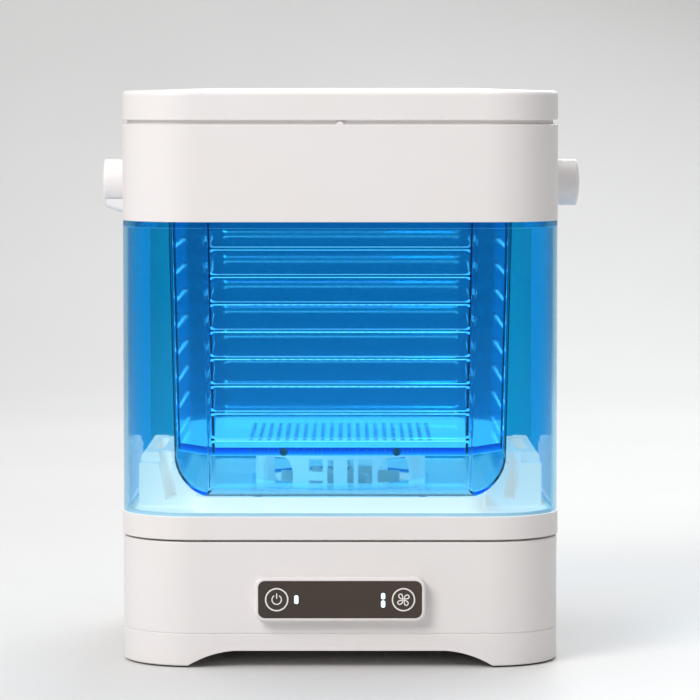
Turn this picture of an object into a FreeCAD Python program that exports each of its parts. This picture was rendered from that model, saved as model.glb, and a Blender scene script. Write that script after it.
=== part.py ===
import FreeCAD, Part

import math
import os

# Resin wash station: a base with a motor and a button panel, and a lift-off wash tank with
# an impeller, a basket, a lid and a carrying bail.
# Millimetres. X to the right, Y to the back, Z up. The origin is on the floor, at the middle
# of the square plan.

V = FreeCAD.Vector
X, Y, Z = V(1, 0, 0), V(0, 1, 0), V(0, 0, 1)
SIDES = (-1, 1)
QUARTERS = ((-1, -1), (1, -1), (1, 1), (-1, 1))

# Outside form
BODY = 240.0
CORNER = 40.0
WALL = 3.0

# Heights of the stack
SKIRT_Z = 1.0
COVER_TOP = 18.7
DECK_TOP = 69.0
RING_BOTTOM = 70.1
RING_TOP = 82.8
SHELL_TOP = 243.2
COLLAR_TOP = 296.1
NECK_TOP = 298.3
LID_EDGE = 314.2
LID_TOP = 315.6

# Base
FLOOR_Z, FLOOR_T = 12.0, 3.0
ARCH_TOP, ARCH_FLAT, ARCH_END, ARCH_R = 9.4, 58.0, 83.5, 35.0
STRIP_OUT, STRIP_IN, STRIP_SUNK = 2.0, 8.0, 0.8
PLINTH, SPIGOT = 228.0, 219.6
SPIGOT_TOP = 73.0
TURRET_R, TURRET_TOP = 50.0, 80.6
COVER_SCREW_X, COVER_SCREW_Y = 92.0, 52.0
BOARD_X, BOARD_Y = -56.0, 50.0
BOARD_W, BOARD_D, BOARD_Z, BOARD_T = 56.0, 44.0, 19.0, 1.6
SOCKET_X, SOCKET_Z, SOCKET_R = 70.0, 38.0, 6.0
LEAD_R, LEAD_GAP = 1.5, 0.6

# Button panel, on the front wall
FRONT = -BODY / 2
PANEL_Z = 38.4
BEZEL_W, BEZEL_H, BEZEL_R = 93.0, 24.2, 5.7
BEZEL_FRONT = FRONT - 7.0
OVERLAY_W, OVERLAY_H, OVERLAY_R, OVERLAY_T = 89.0, 20.3, 3.8, 1.2
OVERLAY_FRONT = BEZEL_FRONT + 0.2
WEB_BACK = OVERLAY_FRONT + OVERLAY_T + 1.6
PANEL_SPIGOT_W, PANEL_SPIGOT_H = 86.0, 18.4
BUTTON_X, BUTTON_R = 34.45, 6.4
CONTROL_FRONT = FRONT + 2.5
CONTROL_T = 1.6
POWER_LED = (-23.8, 0.0, 4.6)
SPEED_LEDS = ((23.4, 1.9, 3.4), (23.4, -2.4, 3.8))
LED_W = 2.2

# Drive
MOTOR_R, MOTOR_BOTTOM, MOTOR_TOP = 25.0, 30.0, 56.0
PLATE_TOP = 59.0
BRACKET, BRACKET_T = 84.0, 2.0
POST_XY = 35.0
SHAFT_R, SHAFT_BOTTOM, SHAFT_TOP = 2.5, 33.0, 73.7
DISC_R, DISC_Z, DISC_TOP = 40.0, 70.2, 75.2
MAGNET_RING = 22.0

# Wash tank
SHELL_WALL = 2.4
TANK_BOTTOM, TANK_TOP = 91.7, 289.5
TANK_WALL = 2.2
TANK_ROUND = 6.0
TANK_HALF_X, TANK_HALF_Y = 92.0, 103.0
TANK_FLAT_X, TANK_FLAT_Y = 67.6, 69.4
TANK_BEND_X, TANK_BEND_Y = 21.0, 8.0
DRAFT = 0.023
FLANGE_T = 2.5
TANK_SEAT = 287.0
CRADLE_TOP, CRADLE_HALF, CRADLE_IN = 112.0, 66.0, 81.0
SEAT_X, SEAT_Y, SEAT_R, SEAT_WALL = 160.0, 197.0, 10.0, 3.0
CRADLE_SCREW_X, CRADLE_SCREW_Y, CRADLE_SCREW_Z = 107.0, 20.0, 75.4

# Impeller
WELL_FLOOR, WELL_R = 83.6, 51.0
SPINDLE_R, SPINDLE_TOP = 3.0, 101.2
IMPELLER_Z, IMPELLER_TOP, IMPELLER_R = 85.9, 97.2, 34.0
GUARD_R, GUARD_TOP, GUARD_WALL, GUARD_ROOF = 48.5, 109.5, 2.5, 1.8
PORT_R, PORT_Z = 13.0, 97.5

# Basket
BASKET_GAP = 1.2
BASKET_WALL = 2.0
BASKET_BOTTOM, BASKET_FLOOR_TOP = 114.5, 118.9
SLOTS, SLOT_TOP, SLOT_PITCH = 8, 228.3, 15.0
SLOT_FRONT, SLOT_SIDE, SLOT_BACK, SLOT_FLARE = 1.3, 1.8, 2.4, 0.4
SLOT_X, SLOT_Y = 70.5, 60.0
HOLE_PITCH, HOLE_R = 5.0, 1.35
PIN_X = 31.0

# Bail handle
PIVOT_Z = 262.0
HUB_R, HUB_IN, HUB_EDGE, HUB_END = 13.2, 120.5, 134.7, 136.6
PIVOT_R = 4.0
ARM_IN, ARM_OUT, ARM_H = 124.0, 132.0, 15.0
BAIL_R, BAR_R, GRIP_R, GRIP_HALF = 143.0, 8.0, 9.6, 48.0
CAP_R = 9.5


# ---------------------------------------------------------------- shapes
def outline(width, depth, radius, z):
    """Rounded rectangle wire at height z, centred on the Z axis."""
    a, b = width / 2 - radius, depth / 2 - radius
    places = ((a, b, 0), (-a, b, 90), (-a, -b, 180), (a, -b, 270))
    arcs = [Part.makeCircle(radius, V(x, y, z), Z, start, start + 90) for x, y, start in places]
    edges = []
    for arc, following in zip(arcs, arcs[1:] + arcs[:1]):
        edges.append(arc)
        start, end = arc.Vertexes[-1].Point, following.Vertexes[0].Point
        if start.distanceToPoint(end) > 1e-6:
            edges.append(Part.makeLine(start, end))
    return Part.Wire(edges)


def slab(width, depth, radius, z0, z1, x=0.0, y=0.0):
    """Upright prism on a rounded rectangle."""
    face = Part.Face(outline(width, depth, radius, z0))
    face.translate(V(x, y, 0))
    return face.extrude(V(0, 0, z1 - z0))


def inset_slab(inset, z0, z1):
    """Prism that follows the body's plan, moved inwards by inset."""
    return slab(BODY - 2 * inset, BODY - 2 * inset, CORNER - inset, z0, z1)


def band(outer, inner, z0, z1):
    """Ring that follows the body's plan between two insets."""
    return inset_slab(outer, z0, z1).cut(inset_slab(inner, z0 - 1, z1 + 1))


def front_slab(width, height, radius, y0, y1, x=0.0, z=PANEL_Z):
    """Prism along Y on a rounded rectangle that faces the front."""
    shape = slab(width, height, radius, -y1, -y0)
    shape.rotate(V(), X, 90)
    shape.translate(V(x, 0, z))
    return shape


def box(x0, x1, y0, y1, z0, z1):
    return Part.makeBox(x1 - x0, y1 - y0, z1 - z0, V(x0, y0, z0))


def rod(radius, start, end):
    """Cylinder between two points."""
    start, end = V(*start), V(*end)
    return Part.makeCylinder(radius, (end - start).Length, start, end - start)


def upright(radius, z0, z1, x=0.0, y=0.0):
    return rod(radius, (x, y, z0), (x, y, z1))


def washer(outer, inner, z0, z1, x=0.0, y=0.0):
    return upright(outer, z0, z1, x, y).cut(upright(inner, z0 - 1, z1 + 1, x, y))


def join(*shapes):
    return shapes[0].fuse(list(shapes[1:])).removeSplitter()


def round_edges(shape, radius, chosen):
    """Fillet the edges that the test picks."""
    return shape.makeFillet(radius, [e for e in shape.Edges if chosen(e)])


def bevel_edges(shape, size, chosen):
    return shape.makeChamfer(size, [e for e in shape.Edges if chosen(e)])


def at_height(z):
    """Test for edges that lie flat at height z."""
    return lambda e: abs(e.BoundBox.ZMin - z) < 1e-4 and abs(e.BoundBox.ZMax - z) < 1e-4


def at_depth(y):
    return lambda e: abs(e.BoundBox.YMin - y) < 1e-4 and abs(e.BoundBox.YMax - y) < 1e-4


def mirror_x(shape):
    return shape.mirror(V(), X)


def screw(head_r, head_h, shank_r, length, place, axis):
    """Cross-recessed screw. place is under the head, and axis points along the shank."""
    place, axis = V(*place), V(*axis)
    head = Part.makeCylinder(head_r, head_h, place - axis * head_h, axis)

    def is_outer(edge):
        return edge.BoundBox.Center.distanceToPoint(place) > head_h * 0.9

    head = bevel_edges(head, head_h * 0.3, is_outer)
    shank = Part.makeCylinder(shank_r, length, place, axis)
    body = join(head, shank)
    turn = FreeCAD.Rotation(Z, axis)
    for angle in (0, 90):
        arm = box(-head_r * 0.6, head_r * 0.6, -head_h * 0.16, head_h * 0.16, -head_h - 1, -head_h * 0.45)
        arm.rotate(V(), Z, angle)
        arm.Placement = FreeCAD.Placement(place, turn).multiply(arm.Placement)
        body = body.cut(arm)
    return body


def cable(radius, points):
    """Round cable along a smooth curve through the points."""
    curve = Part.BSplineCurve()
    curve.interpolate([V(*p) for p in points])
    path = Part.Wire(curve.toShape())
    start = curve.value(curve.FirstParameter)
    along = curve.tangent(curve.FirstParameter)[0]
    ring = Part.Wire(Part.makeCircle(radius, start, along))
    return path.makePipeShell([ring], True, True)


def save(name, shape):
    """Write one node: a solid, or a group of separate solids."""
    if not shape.isValid():
        print("INVALID", name)
    print(name, len(shape.Solids), round(sum(s.Volume for s in shape.Solids) / 1000, 2))
    shape.exportStep(os.path.join("parts", name + ".step"))


def group(shapes):
    return Part.makeCompound(list(shapes))


# ---------------------------------------------------------------- base
def arch_cutter():
    """Low arch through the skirt: flat top, two arcs and a sharp toe."""
    rise = ARCH_TOP - SKIRT_Z
    toe = V(ARCH_END, 0, SKIRT_Z)
    centre = V(ARCH_FLAT, 0, ARCH_TOP - ARCH_R)
    half = math.asin(min(1.0, (ARCH_END - ARCH_FLAT) / ARCH_R)) / 2
    middle = centre + V(ARCH_R * math.sin(half), 0, ARCH_R * math.cos(half))
    right = Part.Arc(toe, middle, V(ARCH_FLAT, 0, ARCH_TOP)).toShape()
    left = mirror_x(right)
    top = Part.makeLine(V(ARCH_FLAT, 0, ARCH_TOP), V(-ARCH_FLAT, 0, ARCH_TOP))
    below = V(0, 0, -rise)
    drop_l = Part.makeLine(V(-ARCH_END, 0, SKIRT_Z), V(-ARCH_END, 0, SKIRT_Z) + below)
    drop_r = Part.makeLine(toe, toe + below)
    floor = Part.makeLine(toe + below, V(-ARCH_END, 0, SKIRT_Z) + below)
    wire = Part.Wire(Part.__sortEdges__([right, top, left, drop_l, floor, drop_r]))
    face = Part.Face(wire)
    face.translate(V(0, -BODY, 0))
    return face.extrude(V(0, BODY, 0))


def base_shell():
    outer = inset_slab(0, COVER_TOP, DECK_TOP)
    outer = bevel_edges(outer, 0.5, at_height(COVER_TOP))
    outer = round_edges(outer, 0.9, at_height(DECK_TOP))
    plinth = slab(PLINTH, PLINTH, 34, DECK_TOP - 1, RING_BOTTOM)
    spigot = slab(SPIGOT, SPIGOT, 30, DECK_TOP - 1, SPIGOT_TOP)
    spigot = bevel_edges(spigot, 0.8, at_height(SPIGOT_TOP))
    turret = round_edges(upright(TURRET_R, DECK_TOP, TURRET_TOP), 2.5, at_height(TURRET_TOP))
    shell = join(outer, plinth, spigot, turret)
    shell = shell.cut(inset_slab(WALL, COVER_TOP - 1, DECK_TOP - WALL))
    shell = shell.cut(slab(SPIGOT - 8, SPIGOT - 8, 26, DECK_TOP - WALL - 1, SPIGOT_TOP - WALL))
    shell = shell.cut(upright(TURRET_R - WALL, DECK_TOP - 8, TURRET_TOP - WALL))
    roof = SPIGOT_TOP - WALL
    posts = [upright(5, 62.4, roof + 1, sx * POST_XY, sy * POST_XY) for sx, sy in QUARTERS]
    floor_top = FLOOR_Z + FLOOR_T
    bosses = [
        upright(4.5, floor_top, roof + 1, sx * COVER_SCREW_X, sy * COVER_SCREW_Y) for sx, sy in QUARTERS
    ]
    shell = join(shell, *posts, *bosses)
    for sx, sy in QUARTERS:
        shell = shell.cut(upright(1.9, 60, roof - 1.5, sx * POST_XY, sy * POST_XY))
        shell = shell.cut(upright(1.5, 0, FLOOR_Z + 16, sx * COVER_SCREW_X, sy * COVER_SCREW_Y))
    window = front_slab(PANEL_SPIGOT_W + 0.4, PANEL_SPIGOT_H + 0.4, 3.2, FRONT - 1, FRONT + WALL + 1)
    y0, y1 = BODY / 2 - WALL - 1, BODY / 2 + 1
    socket = rod(SOCKET_R + 0.1, (SOCKET_X, y0, SOCKET_Z), (SOCKET_X, y1, SOCKET_Z))
    return shell.cut(window).cut(socket)


def bottom_cover():
    cover = bevel_edges(inset_slab(0, SKIRT_Z, COVER_TOP), 0.5, at_height(COVER_TOP))
    cover = bevel_edges(cover, 0.6, at_height(SKIRT_Z))
    cover = cover.cut(inset_slab(WALL, SKIRT_Z - 1, FLOOR_Z))
    cover = cover.cut(inset_slab(WALL + 2.2, FLOOR_Z + FLOOR_T, COVER_TOP + 1))
    tongue = band(WALL + 0.2, WALL + 2.2, COVER_TOP - 1, COVER_TOP + 3.2)
    cover = join(cover, tongue)
    rim = band(WALL - 0.5, STRIP_IN + 1.5, SKIRT_Z, SKIRT_Z + 2.5)
    wells = [upright(5, 6, FLOOR_Z + 1, sx * COVER_SCREW_X, sy * COVER_SCREW_Y) for sx, sy in QUARTERS]
    standoffs = [
        upright(3, FLOOR_Z + 1, BOARD_Z, BOARD_X + sx * (BOARD_W / 2 - 4), BOARD_Y + sy * (BOARD_D / 2 - 4))
        for sx, sy in QUARTERS
    ]
    cover = join(cover, rim, *wells, *standoffs)
    cover = cover.cut(band(STRIP_OUT, STRIP_IN, 0, SKIRT_Z + STRIP_SUNK))
    for sx, sy in QUARTERS:
        cover = cover.cut(upright(1.7, 0, FLOOR_Z + 10, sx * COVER_SCREW_X, sy * COVER_SCREW_Y))
        cover = cover.cut(upright(3.4, 0, FLOOR_Z - 1, sx * COVER_SCREW_X, sy * COVER_SCREW_Y))
        board_hole = (BOARD_X + sx * (BOARD_W / 2 - 4), BOARD_Y + sy * (BOARD_D / 2 - 4))
        cover = cover.cut(upright(1.2, FLOOR_Z + 1.2, BOARD_Z + 1, *board_hole))
    cover = cover.cut(arch_cutter())
    vents = [slab(3, 44, 1.4, FLOOR_Z - 1, FLOOR_Z + FLOOR_T + 1, 8.0 * i, 0) for i in range(-4, 5)]
    return cover.cut(group(vents))


def foot_strip():
    """Anti-slip strip in a groove under the skirt, open at the front arch."""
    strip = band(STRIP_OUT + 0.1, STRIP_IN - 0.1, 0, SKIRT_Z + STRIP_SUNK)
    return bevel_edges(strip, 0.3, at_height(0)).cut(arch_cutter())


def cover_screws():
    places = [(sx * COVER_SCREW_X, sy * COVER_SCREW_Y, FLOOR_Z - 1) for sx, sy in QUARTERS]
    return group(screw(2.9, 2.2, 1.45, 14, place, (0, 0, 1)) for place in places)


def panel_bezel():
    rim = front_slab(BEZEL_W, BEZEL_H, BEZEL_R, BEZEL_FRONT, FRONT)
    rim = round_edges(rim, 1.3, at_depth(BEZEL_FRONT))
    spigot = front_slab(PANEL_SPIGOT_W, PANEL_SPIGOT_H, 3, FRONT - 1, FRONT + 6.5)
    bezel = join(rim, spigot)
    recess_w, recess_h, recess_back = OVERLAY_W + 0.2, OVERLAY_H + 0.2, OVERLAY_FRONT + OVERLAY_T
    bezel = bezel.cut(front_slab(recess_w, recess_h, OVERLAY_R, BEZEL_FRONT - 1, recess_back))
    bezel = bezel.cut(front_slab(PANEL_SPIGOT_W - 3, PANEL_SPIGOT_H - 3, 2, WEB_BACK, FRONT + 7))
    for side in SIDES:
        hook = box(side * 30 - 4, side * 30 + 4, FRONT + WALL + 0.1, FRONT + WALL + 2, 0, 0.8)
        bezel = join(bezel, hook.translated(V(0, 0, PANEL_Z + PANEL_SPIGOT_H / 2)))
        bezel = join(bezel, hook.translated(V(0, 0, PANEL_Z - PANEL_SPIGOT_H / 2 - 0.8)))
        post = rod(2.5, (side * 12, WEB_BACK - 0.5, PANEL_Z), (side * 12, CONTROL_FRONT, PANEL_Z))
        pilot = rod(1.0, (side * 12, WEB_BACK + 1, PANEL_Z), (side * 12, CONTROL_FRONT + 1, PANEL_Z))
        bezel = join(bezel, post).cut(pilot)
    return bezel.cut(group(panel_openings(0.15)))


def panel_openings(extra):
    """Prisms through the panel for the two buttons and the three light pipes."""
    y0, y1 = BEZEL_FRONT - 1, WEB_BACK + 0.5
    shapes = []
    for x in (-BUTTON_X, BUTTON_X):
        shapes.append(rod(BUTTON_R + extra, (x, y0, PANEL_Z), (x, y1, PANEL_Z)))
    for x, z, height in (POWER_LED, *SPEED_LEDS):
        shapes.append(front_slab(LED_W, height, 0.9, y0, y1, x, PANEL_Z + z))
    return shapes


def panel_overlay():
    sheet = front_slab(OVERLAY_W, OVERLAY_H, OVERLAY_R, OVERLAY_FRONT, OVERLAY_FRONT + OVERLAY_T)
    return sheet.cut(group(panel_openings(0.15)))


def light_pipe(x, z, height):
    pipe = front_slab(LED_W, height, 0.9, OVERLAY_FRONT, CONTROL_FRONT - 1.0, x, PANEL_Z + z)
    lip = front_slab(LED_W + 1.2, height + 0.5, 0.9, WEB_BACK, WEB_BACK + 1.2, x, PANEL_Z + z)
    return join(pipe, lip)


def button(side):
    face = OVERLAY_FRONT - 0.25
    cap = rod(BUTTON_R, (0, face, 0), (0, WEB_BACK + 0.8, 0))
    cap = round_edges(cap, 0.25, at_depth(face))
    flange = rod(BUTTON_R + 0.5, (0, WEB_BACK + 0.1, 0), (0, WEB_BACK + 1.1, 0))
    stem = rod(1.6, (0, WEB_BACK, 0), (0, CONTROL_FRONT - 4.6, 0))
    return join(cap, flange, stem).translated(V(side * BUTTON_X, 0, PANEL_Z))


def control_board():
    width, height, back = PANEL_SPIGOT_W - 4, PANEL_SPIGOT_H - 4, CONTROL_FRONT + CONTROL_T
    board = front_slab(width, height, 1.2, CONTROL_FRONT, back)
    for side in SIDES:
        board = board.cut(rod(1.2, (side * 12, FRONT, PANEL_Z), (side * 12, FRONT + 10, PANEL_Z)))
    return board


def tact_switches():
    switches = []
    for side in SIDES:
        x = side * BUTTON_X
        body = box(x - 3, x + 3, CONTROL_FRONT - 3.2, CONTROL_FRONT, PANEL_Z - 3, PANEL_Z + 3)
        knob = rod(1.7, (x, CONTROL_FRONT - 3.9, PANEL_Z), (x, CONTROL_FRONT - 3, PANEL_Z))
        switches.append(join(body, knob))
    return group(switches)


def indicator_leds():
    lamps = []
    for x, z, height in (POWER_LED, *SPEED_LEDS):
        lamps.append(
            box(x - 0.8, x + 0.8, CONTROL_FRONT - 0.8, CONTROL_FRONT, PANEL_Z + z - 1.2, PANEL_Z + z + 1.2)
        )
    return group(lamps)


def panel_board_screws():
    back = CONTROL_FRONT + CONTROL_T
    return group(screw(1.9, 1.4, 0.95, 5.5, (side * 12, back, PANEL_Z), (0, -1, 0)) for side in SIDES)


def driver_board():
    board = slab(BOARD_W, BOARD_D, 1.5, BOARD_Z, BOARD_Z + BOARD_T, BOARD_X, BOARD_Y)
    for sx, sy in QUARTERS:
        place = (BOARD_X + sx * (BOARD_W / 2 - 4), BOARD_Y + sy * (BOARD_D / 2 - 4))
        board = board.cut(upright(1.3, BOARD_Z - 1, BOARD_Z + 3, *place))
    return board


def driver_components():
    """Capacitors, coil, driver chips, heat sink and the plug headers."""
    z = BOARD_Z + BOARD_T
    x, y = BOARD_X, BOARD_Y
    caps = [round_edges(upright(r, z, z + h, x + dx, y + dy), 0.5, at_height(z + h))
            for r, h, dx, dy in ((5, 12, -15, 4), (4, 9, -15, -7), (3, 7, 20, 2))]
    chips = [box(x + dx, x + dx + w, y + dy, y + dy + d, z, z + h)
             for dx, dy, w, d, h in ((-3, -6, 10, 8, 2), (-4, 8, 7, 6, 1.6), (12, -12, 5, 4, 1.2))]
    coil = washer(5.5, 2.2, z, z + 5, x + 12, y + 11)
    headers = [box(x + dx, x + dx + 9, y - 20.5, y - 14.5, z, z + 6) for dx in (-20, -4.5, 9)]
    return group(caps + chips + [coil] + headers)


def driver_board_screws():
    z = BOARD_Z + BOARD_T
    half_w, half_d = BOARD_W / 2 - 4, BOARD_D / 2 - 4
    places = [(BOARD_X + sx * half_w, BOARD_Y + sy * half_d, z) for sx, sy in QUARTERS]
    return group(screw(2.2, 1.6, 1.15, 6.5, place, (0, 0, -1)) for place in places)


def dc_socket():
    back = BODY / 2

    def centre(y):
        return (SOCKET_X, y, SOCKET_Z)

    flange = bevel_edges(rod(7.5, centre(back), centre(back + 1.6)), 0.5, at_depth(back + 1.6))
    socket = join(flange, rod(SOCKET_R, centre(back - 9), centre(back)))
    socket = socket.cut(rod(2.8, centre(back - 8), centre(back + 2)))
    pin = rod(1.05, centre(back - 9), centre(back + 0.6))
    lug = box(SOCKET_X - 1.2, SOCKET_X + 1.2, back - 14, back - 9, SOCKET_Z - 0.3, SOCKET_Z + 0.3)
    return join(socket, pin, lug.translated(V(-3, 0, 0)), lug.translated(V(3, 0, 0)))


def dc_socket_nut():
    inner = BODY / 2 - WALL
    nut = Part.Face(Part.makePolygon([
        V(8.2 * math.cos(a), 8.2 * math.sin(a), 0) for a in (math.radians(60 * i) for i in range(7))
    ])).extrude(V(0, 0, 2.5))
    nut = nut.cut(upright(SOCKET_R, -1, 4))
    nut.rotate(V(), X, 90)
    return nut.translated(V(SOCKET_X, inner, SOCKET_Z))


# ---------------------------------------------------------------- motor and drive
def motor_can():
    can = round_edges(upright(MOTOR_R, MOTOR_BOTTOM, MOTOR_TOP), 2, at_height(MOTOR_BOTTOM))
    can = can.cut(upright(MOTOR_R - 1.5, MOTOR_BOTTOM + 4, MOTOR_TOP + 1))
    boss = upright(7, MOTOR_BOTTOM - 2, MOTOR_BOTTOM + 1)
    return join(can, boss).cut(upright(4.5, MOTOR_BOTTOM, MOTOR_BOTTOM + 5))


def motor_front_plate():
    plate = round_edges(upright(MOTOR_R, MOTOR_TOP, PLATE_TOP), 1, at_height(PLATE_TOP))
    plate = join(plate, upright(7, PLATE_TOP - 1, PLATE_TOP + 3))
    plate = plate.cut(upright(4.5, MOTOR_TOP - 1, PLATE_TOP + 2))
    plate = plate.cut(upright(3.2, MOTOR_TOP, PLATE_TOP + 4))
    for sx, sy in QUARTERS:
        plate = plate.cut(upright(1.45, MOTOR_TOP - 1, PLATE_TOP + 1, sx * 11, sy * 11))
    return plate


def motor_bearings():
    low = washer(4.5, SHAFT_R + 0.05, MOTOR_BOTTOM + 0.2, MOTOR_BOTTOM + 4)
    high = washer(4.5, SHAFT_R + 0.05, MOTOR_TOP, PLATE_TOP + 2)
    return group([low, high])


def motor_magnets():
    """Two curved field magnets bonded inside the can."""
    ring = washer(MOTOR_R - 1.5, 19, MOTOR_BOTTOM + 5, MOTOR_TOP - 2)
    return group(ring.common(box(x0, x1, -30, 30, 0, 100)) for x0, x1 in ((-30, -4), (4, 30)))


def motor_bracket():
    plate = slab(BRACKET, BRACKET, 10, PLATE_TOP, PLATE_TOP + BRACKET_T)
    plate = plate.cut(upright(7.2, PLATE_TOP - 1, PLATE_TOP + 3))
    for sx, sy in QUARTERS:
        plate = plate.cut(upright(4.4, PLATE_TOP - 1, PLATE_TOP + 3, sx * POST_XY, sy * POST_XY))
        plate = plate.cut(upright(1.6, PLATE_TOP - 1, PLATE_TOP + 3, sx * 11, sy * 11))
    for angle in (0, 90, 180, 270):
        window = slab(12, 26, 5, PLATE_TOP - 1, PLATE_TOP + 3, 32.5, 0)
        window.rotate(V(), Z, angle)
        plate = plate.cut(window)
    return plate


def motor_grommets():
    top = PLATE_TOP + BRACKET_T
    grommet = join(washer(4.3, 2, PLATE_TOP - 1.4, top + 1.4), washer(6.2, 2, top, top + 1.4))
    grommet = join(grommet, washer(6.2, 2, PLATE_TOP - 1.4, PLATE_TOP))
    return group(grommet.translated(V(sx * POST_XY, sy * POST_XY, 0)) for sx, sy in QUARTERS)


def bracket_screws():
    places = [(sx * POST_XY, sy * POST_XY, PLATE_TOP - 1.4) for sx, sy in QUARTERS]
    return group(screw(3.6, 2.2, 1.85, 9.5, place, (0, 0, 1)) for place in places)


def motor_plate_screws():
    places = [(sx * 11, sy * 11, PLATE_TOP + BRACKET_T) for sx, sy in QUARTERS]
    return group(screw(2.7, 2.0, 1.4, 4.5, place, (0, 0, -1)) for place in places)


def motor_shaft():
    shaft = bevel_edges(upright(SHAFT_R, SHAFT_BOTTOM, SHAFT_TOP), 0.4, at_height(SHAFT_TOP))
    return shaft.cut(box(SHAFT_R - 0.5, 5, -5, 5, DISC_Z - 7, SHAFT_TOP + 1))


def motor_rotor():
    core = washer(18, SHAFT_R, MOTOR_BOTTOM + 7, MOTOR_TOP - 4)
    for i in range(12):
        slot = box(11.5, 19, -1.1, 1.1, MOTOR_BOTTOM, MOTOR_TOP)
        slot.rotate(V(), Z, 30 * i)
        core = core.cut(slot)
    return core


def magnet_places():
    angles = [math.radians(45 + 90 * i) for i in range(4)]
    return [(MAGNET_RING * math.cos(a), MAGNET_RING * math.sin(a)) for a in angles]


def drive_disc():
    disc = bevel_edges(upright(DISC_R, DISC_Z, DISC_TOP), 0.8, lambda e: e.Length > 200)
    hub = upright(8, DISC_Z - 8, DISC_Z + 1)
    disc = join(disc, hub).cut(upright(SHAFT_R, 60, DISC_TOP + 1))
    disc = disc.cut(rod(1.5, (0, 0, DISC_Z - 4), (12, 0, DISC_Z - 4)))
    for x, y in magnet_places():
        disc = disc.cut(upright(6, DISC_TOP - 4, DISC_TOP + 1, x, y))
    return join(disc, upright(SHAFT_R, SHAFT_TOP, DISC_TOP))


def drive_magnets():
    return group(upright(6, DISC_TOP - 4, DISC_TOP, x, y) for x, y in magnet_places())


def drive_set_screw():
    z = DISC_Z - 4
    screw_body = rod(1.5, (SHAFT_R - 0.5, 0, z), (7.6, 0, z))
    return screw_body.cut(rod(0.75, (6, 0, z), (9, 0, z)))


def wiring_loom():
    """Three leads from the driver board's headers: to the motor, the button panel and the socket."""
    y, z = BOARD_Y - 20.5 - LEAD_GAP, BOARD_Z + BOARD_T + 3
    x = BOARD_X
    panel_y = CONTROL_FRONT + CONTROL_T + LEAD_GAP
    socket_y = BODY / 2 - 14 - LEAD_GAP
    to_motor = cable(LEAD_R, [
        (x + 13.5, y, z), (x + 13.5, y - 5, z), (-36, 12, z + 6),
        (-MOTOR_R - 6, 4, MOTOR_BOTTOM + 8), (-MOTOR_R - LEAD_GAP, 3, MOTOR_BOTTOM + 8),
    ])
    to_panel = cable(LEAD_R, [
        (x, y, z), (x, y - 5, z), (x - 4, -30, z + 2), (-44, -90, PANEL_Z - 8),
        (-20, panel_y + 8, PANEL_Z), (-20, panel_y, PANEL_Z),
    ])
    to_socket = cable(LEAD_R, [
        (x - 15.5, y, z), (x - 15.5, y - 5, z + 1), (-97, 22, z + 12), (-104, 66, z + 16),
        (-60, 100, z + 18), (30, 98, SOCKET_Z + 2),
        (SOCKET_X - 3, socket_y - 6, SOCKET_Z), (SOCKET_X - 3, socket_y, SOCKET_Z),
    ])
    return group([to_motor, to_panel, to_socket])


# ---------------------------------------------------------------- wash tank
def tank_plan(inset, z):
    """Eight-sided plan of the inner tank with blended corners, at height z."""
    fx, fy = TANK_FLAT_X, TANK_HALF_Y - TANK_ROUND
    sx, sy = TANK_HALF_X - TANK_ROUND, TANK_FLAT_Y
    back = [(fx, fy), (-fx, fy), (-sx, sy)]
    front = [(-sx, -sy), (-fx, -fy), (fx, -fy), (sx, -sy), (sx, sy)]
    core = Part.makePolygon([V(x, y, 0) for x, y in back + front + back[:1]])
    grown = core.makeOffset2D(TANK_ROUND + DRAFT * (z - TANK_BOTTOM) - inset)
    return Part.Wire(Part.__sortEdges__(grown.translated(V(0, 0, z)).Edges))


def bend_cutter(half, bend, inset):
    """Prism along Y whose lower corners are rounded, to trim the tank's bottom edges."""
    half, bend, low = half + DRAFT * bend - inset, bend - inset, TANK_BOTTOM + inset
    top, lean = 320.0, 12.0
    k = bend * (1 - math.sqrt(0.5))
    arc = Part.Arc(V(half, 0, low + bend), V(half - k, 0, low + k), V(half - bend, 0, low)).toShape()
    bottom = Part.makeLine(V(half - bend, 0, low), V(bend - half, 0, low))
    side = Part.makeLine(V(half, 0, low + bend), V(half + lean, 0, top))
    lid = Part.makeLine(V(half + lean, 0, top), V(-half - lean, 0, top))
    wire = Part.Wire(Part.__sortEdges__([arc, bottom, mirror_x(arc), mirror_x(side), lid, side]))
    face = Part.Face(wire)
    face.translate(V(0, -200, 0))
    return face.extrude(V(0, 400, 0))


def tank_form(inset, top):
    """Solid with the inner tank's outside form, moved inwards by inset."""
    walls = Part.makeLoft([tank_plan(inset, TANK_BOTTOM - 1), tank_plan(inset, top)], True, True)
    across = bend_cutter(TANK_HALF_X, TANK_BEND_X, inset)
    along = bend_cutter(TANK_HALF_Y, TANK_BEND_Y, inset)
    along.rotate(V(), Z, 90)
    return walls.common(across).common(along)


def straight_form(inset, bottom, top):
    """The same drafted walls with a flat bottom, for the basket."""
    return Part.makeLoft([tank_plan(inset, bottom), tank_plan(inset, top)], True, True)


def inner_tank():
    flange = slab(BODY - 12, BODY - 12, 34, TANK_SEAT, TANK_TOP)
    tank = join(tank_form(0, TANK_TOP), flange)
    tank = tank.cut(tank_form(TANK_WALL, TANK_TOP + 3))
    well = upright(WELL_R, WELL_FLOOR - TANK_WALL, TANK_BOTTOM + 1)
    well = round_edges(well, 2.0, at_height(WELL_FLOOR - TANK_WALL))
    return join(tank, well).cut(upright(WELL_R - TANK_WALL, WELL_FLOOR, TANK_BOTTOM + TANK_WALL + 1))


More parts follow.
